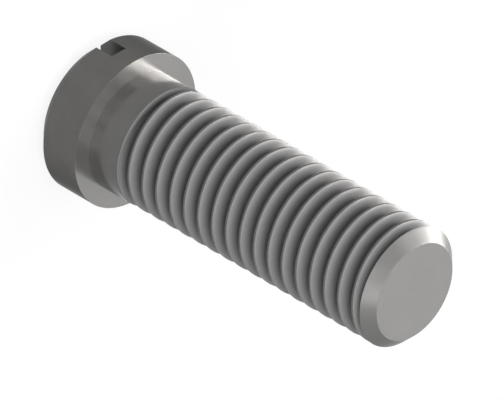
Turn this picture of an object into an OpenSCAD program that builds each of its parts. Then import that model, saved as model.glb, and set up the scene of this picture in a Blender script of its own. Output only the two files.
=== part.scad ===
// Slotted cheese head screw, M10 x 30, turned and threaded from one bar of steel.
// Millimetres. The screw stands on the top of its head: the origin is the centre of that face,
// +Z runs up the axis to the tip, and the driver slot lies along X.

/* [Head] */
// Diameter of the head
head_d = 13; // [12:0.1:20]
// Height of the head, from its top face to the bearing face
head_h = 4.55; // [4:0.05:8]
// Width of the 45 degree chamfer round the edge of the head's top
head_chamfer = 1.1; // [0.3:0.1:1.5]

/* [Slot] */
// Width of the driver slot
slot_w = 1.5; // [1:0.1:2.5]
// Depth of the driver slot
slot_depth = 2.8; // [1.5:0.1:3.2]

/* [Shank] */
// Length of the screw under the head, from the bearing face to the tip
length = 30; // [20:1:45]
// Diameter of the plain shank, the nominal size of the thread
shank_d = 10; // [9:0.1:11]
// Length of the plain shank, from the bearing face to the start of the thread
plain_len = 3; // [1.5:0.1:8]
// Radius of the fillet between the plain shank and the bearing face
fillet_r = 0.1; // [0.05:0.05:0.9]

/* [Thread] */
// Pitch of the thread
pitch = 1.5; // [1.25:0.05:2]
// Angle between the two flanks of a groove
flank_angle = 60; // [55:1:65]
// How far the crests lie inside the nominal diameter, measured on the diameter
crest_allowance = 0.03; // [0.02:0.01:0.2]
// Direction from the axis in which the first crest starts, in degrees
start_angle = 150; // [0:5:355]
// Number of flats that one turn of the thread is made of
flats_per_turn = 36; // [24:4:40]

/* [Tip] */
// Width of the 45 degree chamfer at the tip
tip_chamfer = 0.92; // [0.5:0.02:1.2]

/* [Hidden] */

// Overlap of a cutting shape past the face that it opens
cut_past = 1;
// Finest flats of the round faces
$fn = 96;

// Heights above the top face of the head
bearing_z = head_h;
thread_z = bearing_z + plain_len;
tip_z = bearing_z + length;
thread_len = length - plain_len - tip_chamfer;

// Thread form: a crest flat of an eighth of the pitch, straight flanks and a flat root.
// The depth is that of the standard external thread, 0.6134 of the pitch.
crest_w = pitch / 8;
thread_depth = 0.6134 * pitch;
flank_w = thread_depth * tan(flank_angle / 2);
crest_r = (shank_d - crest_allowance) / 2;
root_r = shank_d / 2 - thread_depth;

// The four corners of one turn, each as its distance along the axis and its radius
corners = [
    [0, crest_r],
    [crest_w, crest_r],
    [crest_w + flank_w, root_r],
    [pitch - flank_w, root_r]
];
corner_count = len(corners);

// The thread starts two turns before its first face and ends two turns past its last one,
// so that every direction round the axis has corners beyond both faces
first_turn = -2;
last_turn = ceil(thread_len / pitch) + 2;
first_corner = first_turn * corner_count;
last_corner = last_turn * corner_count;
corner_rows = last_corner - first_corner + 1;

// Distance along the thread at which the crest starts on column j of the flats
function crest_start(j) = pitch * (j / flats_per_turn - start_angle / 360) - crest_w / 2;

// Distance along the thread of corner k, counted on over all turns, on column j
function corner_z(j, k) =
    crest_start(j) + pitch * floor(k / corner_count) + corners[corner_index(k)][0];
function corner_index(k) = k - corner_count * floor(k / corner_count);

// Radius of the thread on column j at the distance z along it
function thread_r(j, z) =
    let (a = z - crest_start(j), in_turn = a - pitch * floor(a / pitch))
    lookup(in_turn, concat(corners, [[pitch, crest_r]]));

function on_column(j, r, z) =
    [r * cos(360 * j / flats_per_turn), r * sin(360 * j / flats_per_turn), z];

// Number of the point that stands for corner k on column j: a point of the first or last
// face where the corner would lie past it
function point_no(j, k) =
    j == flats_per_turn ? point_no(0, k + corner_count)
    : corner_z(j, k) <= 0 ? j
    : corner_z(j, k) >= thread_len ? flats_per_turn + j
    : 2 * flats_per_turn + j * corner_rows + k - first_corner;

function is_triangle(t) = t[0] != t[1] && t[1] != t[2] && t[2] != t[0];

// The threaded length of the shank as one solid rod with a flat face at each end
module thread() {
    columns = [0 : flats_per_turn - 1];
    first_face = [for (j = columns) on_column(j, thread_r(j, 0), 0)];
    last_face = [for (j = columns) on_column(j, thread_r(j, thread_len), thread_len)];
    surface = [
        for (j = columns, k = [first_corner : last_corner])
            on_column(j, corners[corner_index(k)][1], corner_z(j, k))
    ];
    sides = [
        for (j = columns, k = [first_corner : last_corner - corner_count - 1])
            let (
                a = point_no(j, k),
                b = point_no(j + 1, k),
                c = point_no(j + 1, k + 1),
                d = point_no(j, k + 1)
            )
            for (t = [[a, d, c], [a, c, b]])
                if (is_triangle(t)) t
    ];
    first_cap = [for (j = columns) j];
    last_cap = [for (j = columns) 2 * flats_per_turn - 1 - j];
    polyhedron(
        points = concat(first_face, last_face, surface),
        faces = concat(sides, [first_cap, last_cap])
    );
}

// Round of the head: the chamfered top, then the straight side up to the bearing face
module head() {
    cylinder(h = head_chamfer, d1 = head_d - 2 * head_chamfer, d2 = head_d);
    translate([0, 0, head_chamfer])
        cylinder(h = head_h - head_chamfer, d = head_d);
}

// The driver slot, cut straight across the top of the head
module slot() {
    translate([-head_d / 2 - cut_past, -slot_w / 2, -cut_past])
        cube([head_d + 2 * cut_past, slot_w, slot_depth + cut_past]);
}

// The fillet in the corner between the bearing face and the plain shank
module fillet() {
    rotate_extrude()
        difference() {
            square([shank_d / 2 + fillet_r, fillet_r]);
            translate([shank_d / 2 + fillet_r, fillet_r])
                circle(r = fillet_r);
        }
}

module plain_shank() {
    cylinder(h = plain_len, d = shank_d);
    fillet();
}

module tip() {
    cylinder(h = tip_chamfer, d1 = shank_d, d2 = shank_d - 2 * tip_chamfer);
}

module screw() {
    color("gray") {
        difference() {
            head();
            slot();
        }
        translate([0, 0, bearing_z])
            plain_shank();
        translate([0, 0, thread_z])
            thread();
        translate([0, 0, tip_z - tip_chamfer])
            tip();
    }
}

screw();
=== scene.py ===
import math

import bmesh
import bpy
from mathutils import Matrix, Vector


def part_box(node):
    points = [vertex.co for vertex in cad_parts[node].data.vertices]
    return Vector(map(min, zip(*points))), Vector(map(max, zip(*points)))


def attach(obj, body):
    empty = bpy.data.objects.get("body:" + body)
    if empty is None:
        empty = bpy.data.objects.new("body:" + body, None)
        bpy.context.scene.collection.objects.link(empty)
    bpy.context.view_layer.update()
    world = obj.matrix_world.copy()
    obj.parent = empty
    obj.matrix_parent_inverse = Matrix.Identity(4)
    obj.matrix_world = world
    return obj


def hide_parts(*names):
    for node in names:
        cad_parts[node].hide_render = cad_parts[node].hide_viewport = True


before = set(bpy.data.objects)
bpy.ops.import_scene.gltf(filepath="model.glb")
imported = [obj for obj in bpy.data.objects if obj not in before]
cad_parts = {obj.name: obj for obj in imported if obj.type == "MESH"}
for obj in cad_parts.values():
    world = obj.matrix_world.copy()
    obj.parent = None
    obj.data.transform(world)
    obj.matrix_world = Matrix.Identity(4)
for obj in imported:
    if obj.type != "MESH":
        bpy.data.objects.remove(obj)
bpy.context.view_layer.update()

# Sizes are in millimetres, and the finished mesh is brought to metres at the end.
MM = 0.001

# The screw stands on the top of its head, with +Z up its axis to the tip and the slot along X.
screw_low, screw_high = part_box("screw")
HEAD_D = 13.0
HEAD_H = 4.55
HEAD_CHAMFER = 1.1
SLOT_W = 1.5
SLOT_DEPTH = 2.8
SHANK_D = 10.0
PLAIN_LEN = 3.0
PITCH = 1.5
THREAD_DEPTH = 0.6134 * PITCH
FLANK_SLOPE = math.radians(30)
CREST_W = PITCH / 8
CREST_R = SHANK_D / 2 - 0.015
ROOT_R = SHANK_D / 2 - THREAD_DEPTH
START_ANGLE = math.radians(150)
TIP_CHAMFER = 0.92

TIP_Z = (screw_high[2] - screw_low[2]) / MM
THREAD_Z = HEAD_H + PLAIN_LEN
THREAD_END_Z = TIP_Z - TIP_CHAMFER

# Small roundings where a tool has passed along an edge
RIM_ROUND = 0.01
EDGE_ROUND = 0.03
CREST_ROUND = 0.035
ROOT_ROUND = 0.1443 * PITCH
SLOT_EDGE = 0.05
SHARP_ANGLE = math.radians(24)

# Finish of the steel on each kind of surface: its darkest and lightest colour, how much of it is
# bare metal, how rough it is and how much it gleams at a slant. The lighter colours of the tip
# chamfer and of the flat faces square to the axis are painted light. On the thread, the colours
# are those of the root and the crest: painted shade that deepens down the grooves and painted
# light near the crests. The metal there starts at the share POLISHED_FROM of the height from one
# to the other.
HEAD_FINISH = ((0.153, 0.151, 0.147), (0.169, 0.167, 0.162), 0.60, 0.29, 0.3)
SHANK_FINISH = ((0.200, 0.198, 0.193), (0.216, 0.213, 0.209), 0.34, 0.20, 1.0)
THREAD_FINISH_PAINTED_SHADE_AND_LIGHT = ((0.180, 0.178, 0.179), (0.520, 0.514, 0.516), 0.03, 0.26, 0.0)
POLISHED_FROM = 0.75
TIP_FINISH_PAINTED_LIGHT = ((0.272, 0.269, 0.263), (0.292, 0.289, 0.282), 0.14, 0.30, 0.5)
FACE_FINISH_PAINTED_LIGHT = ((0.335, 0.332, 0.325), (0.355, 0.351, 0.344), 0.62, 0.20, 1.0)
SPECULAR_LEVEL = 0.04
# The crests keep the finish of the plain shank down to this depth
CREST_SKIN = 0.01
# A surface is square to the axis where its normal is within about 18 degrees of it
SQUARE_NORMAL = 0.95

# Clouds in the colour, a speckle in the gloss and the surface, and the marks of the lathe tool
CLOUD_SIZE = 1.6 * MM
SPECKLE_SIZE = 0.25 * MM
MARK_SPACING = 0.09 * MM
MARK_DEPTH = 0.0005 * MM
SPECKLE_SHARE = 0.25
ROUGH_SPREAD = 0.015
# Where most of a noise's values lie
NOISE_SPAN = (0.3, 0.7)

# The floor's own colour, and its glow as a background, which make white together
FLOOR_TONE = 0.22
FLOOR_GLOW = 0.86
FLOOR_ROUGH = 0.9
FLOOR_REACH = 3.0

# Each lamp's azimuth and elevation in degrees, its width and height in metres, and how bright
# its face looks. The reflectors, a little warmer than the softboxes, show in the gloss alone.
REFLECTORS = {
    "low_reflector": (-94, 5, 0.75, 0.6, 24.0),
    "high_reflector": (-87, 36, 0.8, 0.42, 17.0),
    "side_reflector": (-40, 35, 0.5, 0.3, 2.8),
    "left_reflector": (97, 47, 0.6, 0.35, 3.4),
}
REFLECTOR_TINT = (1.0, 0.975, 0.945)
SOFTBOXES = {
    "right_softbox": (-60, 58, 1.0, 0.9, 1.6),
    "left_softbox": (78, 58, 1.0, 0.8, 2.0),
    "front_softbox": (32, 32, 0.8, 0.7, 1.15),
}
LAMP_DISTANCE = 1.0

# The picture's width, the height on the axis that it is aimed at, and how far aside of the
# axis its middle lies
VIEW_WIDTH = 38.08
AIM_Z = 17.1
AIM_ASIDE = 0.206
LENS = 1200
SENSOR = 36

# How finely the round surfaces and the roundings are divided
ROUND_STEPS = 144
ARC_STEP = math.radians(14)
# How far beside a rounding the flat stretches get a point of their own
GUARD = 0.04
# How far inside its edge a flat end is closed by one face
END_STEP = 1.0
# Points closer than this are one point
MERGE = 0.0005


def rounded(corners):
    """An outline through corners, each (radius, height, rounding), with its roundings as arcs.

    A point close before and after each arc keeps the flat stretches beside it flat in shading.
    """
    points = [Vector(corners[0][:2])]
    for before, corner, after in zip(corners, corners[1:], corners[2:]):
        here = Vector(corner[:2])
        if not corner[2]:
            points.append(here)
            continue
        back = (Vector(before[:2]) - here).normalized()
        on = (Vector(after[:2]) - here).normalized()
        turn = math.pi - back.angle(on)
        reach = corner[2] * math.tan(turn / 2)
        centre = here + (back + on).normalized() * corner[2] / math.cos(turn / 2)
        start = here + back * reach - centre
        side = 1 if back.x * on.y - back.y * on.x < 0 else -1
        steps = max(2, math.ceil(turn / ARC_STEP))
        points.append(centre + start + back * GUARD)
        for step in range(steps + 1):
            points.append(centre + Matrix.Rotation(side * turn * step / steps, 2) @ start)
        points.append(here + on * (reach + GUARD))
    points.append(Vector(corners[-1][:2]))
    return points


def add_outline(bm, outline, angle=0.0):
    """The outline's points as a chain of edges in the half plane at an angle round the axis."""
    turn = Matrix.Rotation(angle, 3, "Z")
    verts = [bm.verts.new(turn @ Vector((r, 0, z))) for r, z in outline]
    edges = [bm.edges.new(pair) for pair in zip(verts, verts[1:])]
    return verts + edges


def turn_round(bm, outline):
    """A turned surface, one full spin of the outline about the axis."""
    bmesh.ops.spin(
        bm,
        geom=add_outline(bm, outline),
        cent=(0, 0, 0),
        axis=(0, 0, 1),
        angle=math.tau,
        steps=ROUND_STEPS,
        use_merge=True,
    )


def edges_at(bm, height):
    """Open edges of the surface that lie at one height."""
    return [
        edge
        for edge in bm.edges
        if edge.is_boundary and all(abs(v.co.z - height) < MERGE for v in edge.verts)
    ]


def turn_head_and_shank(bm):
    head_r = HEAD_D / 2
    shank_r = SHANK_D / 2
    top_r = head_r - HEAD_CHAMFER
    turn_round(
        bm,
        rounded(
            [
                (top_r - END_STEP, 0, 0),
                (top_r, 0, EDGE_ROUND),
                (head_r, HEAD_CHAMFER, EDGE_ROUND),
                (head_r, HEAD_H, RIM_ROUND),
                (shank_r, HEAD_H, 0),
                (shank_r, THREAD_Z, 0),
            ]
        ),
    )
    bmesh.ops.contextual_create(bm, geom=edges_at(bm, 0))


def turn_tip(bm):
    shank_r = SHANK_D / 2
    end_r = shank_r - TIP_CHAMFER
    turn_round(
        bm,
        rounded(
            [
                (shank_r, THREAD_END_Z, 0),
                (end_r, TIP_Z, EDGE_ROUND),
                (end_r - END_STEP, TIP_Z, 0),
            ]
        ),
    )
    bmesh.ops.contextual_create(bm, geom=edges_at(bm, TIP_Z))


def split_skin(bm):
    """Splits the head's skin, up to its rim, along the slot's floor and its two walls."""
    planes = [
        ((0, 0, SLOT_DEPTH), (0, 0, 1)),
        ((0, SLOT_W / 2, 0), (0, 1, 0)),
        ((0, -SLOT_W / 2, 0), (0, 1, 0)),
    ]
    for point, normal in planes:
        skin = [f for f in bm.faces if f.calc_center_median().z < HEAD_H - RIM_ROUND]
        edges = {e for f in skin for e in f.edges}
        verts = {v for f in skin for v in f.verts}
        bmesh.ops.bisect_plane(
            bm,
            geom=[*skin, *edges, *verts],
            dist=MERGE,
            plane_co=point,
            plane_no=normal,
        )


def open_skin(bm):
    """Takes the skin away where the slot comes out of the head."""
    mouth = []
    for face in bm.faces:
        centre = face.calc_center_bounds()
        if abs(centre.y) < SLOT_W / 2 and centre.z < SLOT_DEPTH:
            mouth.append(face)
    bmesh.ops.delete(bm, geom=mouth, context="FACES")


def wall_slot(bm):
    """Closes the opened head with the slot's two walls and its floor, and returns these faces."""
    half = SLOT_W / 2
    open_edges = [e for e in bm.edges if e.is_boundary and e.verts[0].co.z < HEAD_H]
    corners = [
        v
        for v in {v for e in open_edges for v in e.verts}
        if abs(v.co.z - SLOT_DEPTH) < MERGE and abs(abs(v.co.y) - half) < MERGE
    ]
    walls = []
    floor_edges = [e for e in open_edges if all(abs(v.co.z - SLOT_DEPTH) < MERGE for v in e.verts)]
    for side in (1, -1):
        ends = [v for v in corners if v.co.y * side > 0]
        foot = bm.edges.new(ends)
        floor_edges.append(foot)
        rim = [e for e in open_edges if all(abs(v.co.y - side * half) < MERGE for v in e.verts)]
        walls += bmesh.ops.contextual_create(bm, geom=[*rim, foot])["faces"]
    floor = bmesh.ops.contextual_create(bm, geom=floor_edges)["faces"]
    return walls + floor


def cut_slot(bm):
    """Cuts the driver slot through the head and takes the sharpness off its outer edges."""
    split_skin(bm)
    open_skin(bm)
    inside = wall_slot(bm)
    outer = [
        edge
        for face in inside
        for edge in face.edges
        if sum(beside in inside for beside in edge.link_faces) == 1
    ]
    bmesh.ops.bevel(
        bm,
        geom=outer,
        offset=SLOT_EDGE,
        offset_type="OFFSET",
        segments=1,
        profile=0.5,
        affect="EDGES",
        material=-1,
        clamp_overlap=True,
    )


def thread_outline():
    """One pitch of the thread, from the middle of a crest to the middle of the next."""
    crest_edge = CREST_W / 2
    flank_reach = (PITCH - CREST_W) / 2
    point_r = SHANK_D / 2 - flank_reach / math.tan(FLANK_SLOPE)
    return rounded(
        [
            (CREST_R, 0, 0),
            (CREST_R, crest_edge, CREST_ROUND),
            (point_r, PITCH / 2, ROOT_ROUND),
            (CREST_R, PITCH - crest_edge, CREST_ROUND),
            (CREST_R, PITCH, 0),
        ]
    )


def wind_thread(bm):
    """The thread: one turn by a helical spin, its copies above it, and both ends trimmed flat."""
    spare_turns = 2
    turns = math.ceil((THREAD_END_Z - THREAD_Z) / PITCH) + 2 * spare_turns
    first_z = THREAD_Z - spare_turns * PITCH
    outline = [(r, z + first_z) for r, z in thread_outline()]
    bmesh.ops.spin(
        bm,
        geom=add_outline(bm, outline, START_ANGLE),
        cent=(0, 0, 0),
        axis=(0, 0, 1),
        dvec=(0, 0, PITCH / ROUND_STEPS),
        angle=math.tau,
        steps=ROUND_STEPS,
        use_merge=False,
    )
    one_turn = [*bm.verts, *bm.edges, *bm.faces]
    for number in range(1, turns):
        copy = bmesh.ops.duplicate(bm, geom=one_turn)["geom"]
        copied_verts = [item for item in copy if isinstance(item, bmesh.types.BMVert)]
        bmesh.ops.translate(bm, vec=(0, 0, PITCH * number), verts=copied_verts)
    bmesh.ops.remove_doubles(bm, verts=bm.verts, dist=MERGE)
    for height, upper in ((THREAD_Z, False), (THREAD_END_Z, True)):
        bmesh.ops.bisect_plane(
            bm,
            geom=[*bm.verts, *bm.edges, *bm.faces],
            dist=MERGE / 10,
            plane_co=(0, 0, height),
            plane_no=(0, 0, 1),
            clear_outer=upper,
            clear_inner=not upper,
        )


def joined(parts):
    """One mesh from several, with the flat steps between them filled and every seam closed."""
    whole = bmesh.new()
    for part in parts:
        mesh = bpy.data.meshes.new("part")
        part.to_mesh(mesh)
        part.free()
        whole.from_mesh(mesh)
        bpy.data.meshes.remove(mesh)
    for height in (THREAD_Z, THREAD_END_Z):
        bmesh.ops.triangle_fill(
            whole,
            use_beauty=True,
            use_dissolve=False,
            edges=edges_at(whole, height),
            normal=(0, 0, 1),
        )
    return whole


def made(build):
    """A new bmesh with what the function build puts into it."""
    bm = bmesh.new()
    build(bm)
    return bm


def head_with_slot(bm):
    turn_head_and_shank(bm)
    cut_slot(bm)


def screw_piece():
    bm = joined([made(head_with_slot), made(wind_thread), made(turn_tip)])
    bmesh.ops.recalc_face_normals(bm, faces=bm.faces)
    open_edges = [e for e in bm.edges if not e.is_manifold]
    print("screw edges not closed:", len(open_edges), "faces:", len(bm.faces))
    bmesh.ops.scale(bm, vec=(MM, MM, MM), verts=bm.verts)
    mesh = bpy.data.meshes.new("slotted_screw")
    bm.to_mesh(mesh)
    bm.free()
    mesh.shade_smooth()
    mesh.set_sharp_from_angle(angle=SHARP_ANGLE)
    piece = bpy.data.objects.new("slotted_screw", mesh)
    bpy.context.scene.collection.objects.link(piece)
    return piece


def add_node(material, kind, **settings):
    """A node of a material, with its plain settings and the constant values of its sockets."""
    node = material.node_tree.nodes.new(kind)
    for name, value in settings.items():
        if name in node.inputs:
            node.inputs[name].default_value = value
        else:
            setattr(node, name, value)
    return node


def height_and_radius(material):
    """The height above the top of the head and the distance from the axis, as outputs."""
    links = material.node_tree.links
    place = add_node(material, "ShaderNodeTexCoord")
    axes = add_node(material, "ShaderNodeSeparateXYZ")
    across = add_node(material, "ShaderNodeCombineXYZ")
    radius = add_node(material, "ShaderNodeVectorMath", operation="LENGTH")
    links.new(place.outputs["Object"], axes.inputs[0])
    links.new(axes.outputs["X"], across.inputs["X"])
    links.new(axes.outputs["Y"], across.inputs["Y"])
    links.new(across.outputs[0], radius.inputs[0])
    return axes.outputs["Z"], radius.outputs["Value"]


def lathe_marks(material, height, radius, width):
    """Noise that changes with the radius and the height alone, as the marks of a lathe tool do."""
    links = material.node_tree.links
    ring = add_node(material, "ShaderNodeCombineXYZ")
    marks = add_node(material, "ShaderNodeTexNoise", noise_dimensions="2D")
    marks.inputs["Scale"].default_value = 1 / width
    marks.inputs["Detail"].default_value = 3.0
    links.new(radius, ring.inputs["X"])
    links.new(height, ring.inputs["Y"])
    links.new(ring.outputs[0], marks.inputs["Vector"])
    return marks.outputs["Fac"]


def grain(material, width, detail):
    """Even noise in space, as the grain of a metal surface."""
    place = add_node(material, "ShaderNodeTexCoord")
    noise = add_node(material, "ShaderNodeTexNoise", Scale=1 / width, Detail=detail)
    material.node_tree.links.new(place.outputs["Object"], noise.inputs["Vector"])
    return noise.outputs["Fac"]


def ranged(material, value, source, target):
    """A value brought from one range to another."""
    node = add_node(material, "ShaderNodeMapRange")
    for name, amount in zip(("From Min", "From Max", "To Min", "To Max"), (*source, *target)):
        node.inputs[name].default_value = amount
    material.node_tree.links.new(value, node.inputs["Value"])
    return node.outputs["Result"]


def mixed(material, factor, first, second):
    """A mix of two colours or two numbers, each written out or the output of another node."""
    kinds = [getattr(item, "type", type(item).__name__) for item in (first, second)]
    of_colour = "tuple" in kinds or "RGBA" in kinds
    kind = "RGBA" if of_colour else "VALUE"
    node = add_node(material, "ShaderNodeMix", data_type="RGBA" if of_colour else "FLOAT")
    for name, item in (("A", first), ("B", second)):
        socket = next(s for s in node.inputs if s.name == name and s.type == kind)
        if isinstance(item, tuple):
            socket.default_value = (*item, 1)
        elif isinstance(item, float):
            socket.default_value = item
        else:
            material.node_tree.links.new(item, socket)
    material.node_tree.links.new(factor, node.inputs["Factor"])
    return next(s for s in node.outputs if s.type == kind)


def between(material, height, low, high):
    """One from the height low to the height high and nothing elsewhere."""
    node = add_node(material, "ShaderNodeMath", operation="COMPARE")
    node.inputs[1].default_value = (low + high) / 2 * MM
    node.inputs[2].default_value = (high - low) / 2 * MM
    material.node_tree.links.new(height, node.inputs[0])
    return node.outputs[0]


def on_square_face(material, thread):
    """One on the flat faces across the axis, and nothing on the sides, chamfers and thread."""
    links = material.node_tree.links
    place = add_node(material, "ShaderNodeTexCoord")
    axes = add_node(material, "ShaderNodeSeparateXYZ")
    steep = add_node(material, "ShaderNodeMath", operation="ABSOLUTE")
    square = add_node(material, "ShaderNodeMath", operation="GREATER_THAN")
    square.inputs[1].default_value = SQUARE_NORMAL
    smooth = add_node(material, "ShaderNodeMath", operation="SUBTRACT", use_clamp=True)
    links.new(place.outputs["Normal"], axes.inputs[0])
    links.new(axes.outputs["Z"], steep.inputs[0])
    links.new(steep.outputs[0], square.inputs[0])
    links.new(square.outputs[0], smooth.inputs[0])
    links.new(thread, smooth.inputs[1])
    return smooth.outputs[0]


def thread_masks(material, height, radius):
    """One on the threaded stretch with its crests, and one on its grooves alone."""
    links = material.node_tree.links
    thread = between(material, height, THREAD_Z - MERGE, THREAD_END_Z + MERGE)
    below_crest = add_node(material, "ShaderNodeMath", operation="LESS_THAN")
    below_crest.inputs[1].default_value = (CREST_R - CREST_SKIN) * MM
    links.new(radius, below_crest.inputs[0])
    grooves = add_node(material, "ShaderNodeMath", operation="MULTIPLY")
    links.new(thread, grooves.inputs[0])
    links.new(below_crest.outputs[0], grooves.inputs[1])
    return thread, grooves.outputs[0]


def finish_zones(material, height, radius, cloudy):
    """The zones that differ from the head: each one's mask, what mixes its colours, its finish."""
    thread, grooves = thread_masks(material, height, radius)
    rise = ranged(material, radius, (ROOT_R * MM, CREST_R * MM), (0, 1))
    # The thread's dark root colour is painted shade in the grooves, and its light crest colour is
    # painted light on the upper flanks
    dark, light, metal, rough, gleam = THREAD_FINISH_PAINTED_SHADE_AND_LIGHT
    polished = ranged(material, rise, (POLISHED_FROM, 1), (0, metal))
    shank = between(material, height, HEAD_H, THREAD_END_Z + MERGE)
    tip = between(material, height, THREAD_END_Z + MERGE, TIP_Z)
    return [
        (shank, cloudy, SHANK_FINISH),
        # Painted shade that deepens towards the root of each groove, and painted light towards the
        # crest
        (grooves, rise, (dark, light, polished, rough, gleam)),
        # The tip chamfer's lighter colour is painted light
        (tip, cloudy, TIP_FINISH_PAINTED_LIGHT),
        # The flat faces square to the axis get a lighter colour, which is painted light
        (on_square_face(material, thread), cloudy, FACE_FINISH_PAINTED_LIGHT),
    ]


def uneven(material, rough, speckle):
    """The roughness, a little higher and lower with the speckle."""
    links = material.node_tree.links
    node = add_node(material, "ShaderNodeMath", operation="ADD")
    spread = ranged(material, speckle, NOISE_SPAN, (-ROUGH_SPREAD, ROUGH_SPREAD))
    links.new(rough, node.inputs[0])
    links.new(spread, node.inputs[1])
    return node.outputs[0]


def marked(material, height, radius, speckle):
    """The normal of the surface with the lathe marks and a shallower speckle in it."""
    links = material.node_tree.links
    relief = add_node(material, "ShaderNodeMath", operation="MULTIPLY_ADD")
    relief.inputs[1].default_value = SPECKLE_SHARE
    links.new(speckle, relief.inputs[0])
    links.new(lathe_marks(material, height, radius, MARK_SPACING), relief.inputs[2])
    bump = add_node(material, "ShaderNodeBump", Strength=1.0, Distance=MARK_DEPTH)
    links.new(relief.outputs[0], bump.inputs["Height"])
    return bump.outputs["Normal"]


def turned_steel():
    """Satin grey steel with painted light on the flat faces square to the axis and on the tip
    chamfer, painted shade deepening down the thread's grooves, and faint lathe marks and a fine
    speckle in its gloss and surface."""
    material = bpy.data.materials.new("turned_steel")
    material.use_nodes = True
    links = material.node_tree.links
    shader = material.node_tree.nodes["Principled BSDF"]
    shader.inputs["Specular IOR Level"].default_value = SPECULAR_LEVEL
    height, radius = height_and_radius(material)
    cloudy = ranged(material, grain(material, CLOUD_SIZE, detail=3.0), NOISE_SPAN, (0, 1))
    dark, light, metal, rough, gleam = HEAD_FINISH
    colour = mixed(material, cloudy, dark, light)
    for mask, tone, finish in finish_zones(material, height, radius, cloudy):
        dark, light, zone_metal, zone_rough, zone_gleam = finish
        colour = mixed(material, mask, colour, mixed(material, tone, dark, light))
        metal = mixed(material, mask, metal, zone_metal)
        rough = mixed(material, mask, rough, zone_rough)
        gleam = mixed(material, mask, gleam, zone_gleam)
    speckle = grain(material, SPECKLE_SIZE, detail=2.0)
    links.new(colour, shader.inputs["Base Color"])
    links.new(metal, shader.inputs["Metallic"])
    links.new(gleam, shader.inputs["Specular Tint"])
    links.new(uneven(material, rough, speckle), shader.inputs["Roughness"])
    links.new(marked(material, height, radius, speckle), shader.inputs["Normal"])
    return material


def seen_as_background(tree, strength):
    """The strength for rays that see the background: from the camera, in metal, through glass."""
    path = tree.nodes.new("ShaderNodeLightPath")
    total = None
    for ray in ("Is Camera Ray", "Is Glossy Ray", "Is Transmission Ray"):
        step = tree.nodes.new("ShaderNodeMath")
        step.operation = "MULTIPLY_ADD" if total else "MULTIPLY"
        step.inputs[1].default_value = strength
        tree.links.new(path.outputs[ray], step.inputs[0])
        if total:
            tree.links.new(total, step.inputs[2])
        total = step.outputs[0]
    return total


def pale_floor():
    material = bpy.data.materials.new("pale_floor")
    material.use_nodes = True
    shader = material.node_tree.nodes["Principled BSDF"]
    shader.inputs["Base Color"].default_value = (FLOOR_TONE, FLOOR_TONE, FLOOR_TONE, 1)
    shader.inputs["Roughness"].default_value = FLOOR_ROUGH
    shader.inputs["Specular IOR Level"].default_value = 0.0
    shader.inputs["Emission Color"].default_value = (1, 1, 1, 1)
    lifted = seen_as_background(material.node_tree, FLOOR_GLOW)
    material.node_tree.links.new(lifted, shader.inputs["Emission Strength"])
    return material


def add_floor():
    bm = bmesh.new()
    bmesh.ops.create_grid(bm, x_segments=1, y_segments=1, size=FLOOR_REACH)
    mesh = bpy.data.meshes.new("floor")
    bm.to_mesh(mesh)
    bm.free()
    mesh.materials.append(pale_floor())
    floor = bpy.data.objects.new("floor", mesh)
    bpy.context.scene.collection.objects.link(floor)


def softbox(name, azimuth, elevation, width, height, brightness, only_gloss=False):
    """A flat lamp that faces the middle of the screw."""
    across, up = math.radians(azimuth), math.radians(elevation)
    level = Vector((math.cos(across), math.sin(across), 0)) * math.cos(up)
    towards = level + Vector((0, 0, math.sin(up)))
    lamp = bpy.data.lights.new(name, "AREA")
    lamp.shape = "RECTANGLE"
    lamp.size = width
    lamp.size_y = height
    lamp.energy = brightness * math.pi * width * height
    if only_gloss:
        lamp.color = REFLECTOR_TINT
    item = bpy.data.objects.new(name, lamp)
    item.location = towards * LAMP_DISTANCE + Vector((0, 0, TIP_Z / 2 * MM))
    item.rotation_mode = "QUATERNION"
    item.rotation_quaternion = (-towards).to_track_quat("-Z", "Y")
    item.visible_diffuse = not only_gloss
    bpy.context.scene.collection.objects.link(item)


def light_studio():
    for name, setting in REFLECTORS.items():
        softbox(name, *setting, only_gloss=True)
    for name, setting in SOFTBOXES.items():
        softbox(name, *setting)
    world = bpy.data.worlds.new("studio")
    bpy.context.scene.world = world
    world.use_nodes = True
    background = world.node_tree.nodes["Background"]
    background.inputs["Color"].default_value = (1, 1, 1, 1)
    lifted = seen_as_background(world.node_tree, 1.0)
    world.node_tree.links.new(lifted, background.inputs["Strength"])


def add_camera():
    """The isometric view through a very long lens, with the slot's direction up."""
    back = Vector((1, 1, 1)).normalized()
    up = (Vector((1, 0, 0)) - back * back.x).normalized()
    right = up.cross(back)
    aside = Vector((-1, 1, 0)).normalized() * AIM_ASIDE
    aim = (Vector((0, 0, AIM_Z)) + aside) * MM
    data = bpy.data.cameras.new("camera")
    data.lens = LENS
    data.sensor_width = SENSOR
    distance = VIEW_WIDTH * MM * LENS / SENSOR
    data.clip_start = 0.01
    data.clip_end = 10
    camera = bpy.data.objects.new("camera", data)
    camera.matrix_world = Matrix.Translation(aim + back * distance) @ Matrix(
        (right, up, back)
    ).transposed().to_4x4()
    bpy.context.scene.collection.objects.link(camera)
    bpy.context.scene.camera = camera


add_camera()
screw = screw_piece()
screw.data.materials.append(turned_steel())
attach(screw, "root")
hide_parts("screw")
add_floor()
light_studio()
bpy.context.scene.view_settings.view_transform = "Standard"
